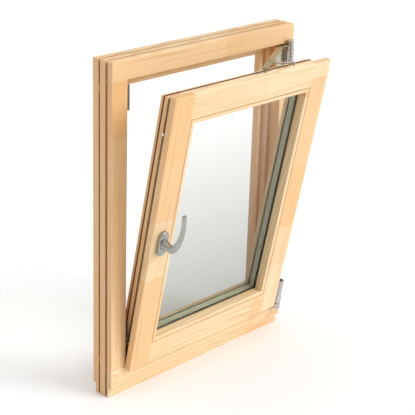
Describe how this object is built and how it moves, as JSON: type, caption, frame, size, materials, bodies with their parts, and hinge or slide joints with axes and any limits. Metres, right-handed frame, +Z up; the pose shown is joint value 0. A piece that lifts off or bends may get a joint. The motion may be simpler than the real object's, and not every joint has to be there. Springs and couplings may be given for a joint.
{
  "type": "tilt and turn window with lever handle",
  "caption": "Timber-framed tilt-and-turn window drawn tilted in at the top: outer frame, double-glazed sash, lever handle, stay arm and corner hinge.",
  "frame": {"origin": "middle of the frame's underside", "axes": "+Z up, +Y through the window towards the weather side, +X towards the hinges"},
  "size_m": [0.66, 0.2536, 0.89],
  "materials": {
    "pine": "clear-varnished finger-jointed pine",
    "clear_glass": "clear float glass",
    "spacer_aluminium": "mill-finish spacer",
    "edge_sealant": "dark edge sealant",
    "brown_gasket": "brown weather gasket",
    "grey_gasket": "dark glazing gasket",
    "zinc_steel": "zinc-plated pressed steel",
    "dark_zinc": "dark die-cast keeper",
    "satin_silver": "satin silver",
    "silver_cap": "silver-coloured cover",
    "drip_aluminium": "anodised",
    "dark_plug": "dark grey plug",
    "block_plastic": "setting block"
  },
  "bodies": {
    "frame": {"frame_top_rail": "pine", "frame_bottom_rail": "pine", "frame_left_stile": "pine", "frame_right_stile": "pine", "drip_rail": "drip_aluminium", "striker_side_upper": "dark_zinc", "striker_side_lower": "dark_zinc", "tilt_bearing": "dark_zinc", "striker_screws": "zinc_steel", "stay_bearing": "zinc_steel", "stay_bearing_cover": "silver_cap", "corner_bearing": "zinc_steel", "corner_bearing_cover": "silver_cap", "hinge_screws": "zinc_steel"},
    "turn_axle": {"stay_pin": "zinc_steel", "pivot_link": "zinc_steel"},
    "sash": {"sash_left_stile": "pine", "sash_right_stile": "pine", "sash_top_rail": "pine", "sash_bottom_rail": "pine", "bead_left": "pine", "bead_right": "pine", "bead_top": "pine", "bead_bottom": "pine", "inner_pane": "clear_glass", "outer_pane": "clear_glass", "edge_seal": "edge_sealant", "spacer_bar": "spacer_aluminium", "inner_gasket": "grey_gasket", "outer_gasket": "grey_gasket", "setting_blocks": "block_plastic", "weather_gasket": "brown_gasket", "side_face_plate": "zinc_steel", "stay_guide_plate": "zinc_steel", "bottom_face_plate": "zinc_steel", "face_plate_screws": "zinc_steel", "corner_drive_upper": "zinc_steel", "corner_drive_lower": "zinc_steel", "gearbox_case": "zinc_steel", "tilt_pin": "zinc_steel", "corner_band": "zinc_steel", "corner_band_cap": "silver_cap", "corner_band_plug": "dark_plug", "corner_band_screws": "zinc_steel", "rosette_base": "satin_silver", "rosette_cover": "satin_silver", "handle_screws": "zinc_steel"},
    "stay_arm": {"stay_arm": "zinc_steel", "stay_arm_cap": "silver_cap", "stay_stud": "zinc_steel", "link_rivet": "zinc_steel"},
    "support_link": {"support_link": "zinc_steel"},
    "handle": {"handle_lever": "satin_silver", "handle_spindle": "zinc_steel", "drive_pinion": "zinc_steel"},
    "side_rod": {"side_drive_rod": "zinc_steel"},
    "top_rod": {"top_drive_rod": "zinc_steel"},
    "bottom_rod": {"bottom_drive_rod": "zinc_steel"}
  },
  "joints": [
    {"name": "turn", "type": "hinge", "parent": "frame", "child": "turn_axle", "pos_m": [0.303, -0.0465, 0.084], "axis": [0, 0, 1], "range_deg": [0, 95]},
    {"name": "tilt", "type": "hinge", "parent": "turn_axle", "child": "sash", "pos_m": [0.303, -0.0465, 0.084], "axis": [1, 0, 0], "range_deg": [-11, 0]},
    {"name": "stay_swing", "type": "hinge", "parent": "turn_axle", "child": "stay_arm", "pos_m": [0.303, -0.0465, 0.8355], "axis": [0, 0, 1], "range_deg": [-31.4, 0]},
    {"name": "link_swing", "type": "hinge", "parent": "stay_arm", "child": "support_link", "pos_m": [0.12935, -0.12466, 0.8355], "axis": [0, 0, 1], "range_deg": [0, 72.8]},
    {"name": "handle_turn", "type": "hinge", "parent": "sash", "child": "handle", "pos_m": [-0.251, -0.12604, 0.44343], "axis": [0, 0.9816, 0.1908], "range_deg": [0, 180]},
    {"name": "side_rod_slide", "type": "slide", "parent": "sash", "child": "side_rod", "axis": [0, -0.1908, 0.9816], "range_m": [0, 0.0361]},
    {"name": "top_rod_slide", "type": "slide", "parent": "sash", "child": "top_rod", "axis": [1, 0, 0], "range_m": [0, 0.0361]},
    {"name": "bottom_rod_slide", "type": "slide", "parent": "sash", "child": "bottom_rod", "axis": [-1, 0, 0], "range_m": [0, 0.0361]}
  ],
  "couplings": [
    {"joint": "stay_swing", "follows": "tilt", "ratio": 2.8474},
    {"joint": "link_swing", "follows": "tilt", "ratio": -6.6112},
    {"joint": "side_rod_slide", "follows": "handle_turn", "m_per_rad": 0.011459},
    {"joint": "top_rod_slide", "follows": "handle_turn", "m_per_rad": 0.011459},
    {"joint": "bottom_rod_slide", "follows": "handle_turn", "m_per_rad": 0.011459}
  ]
}
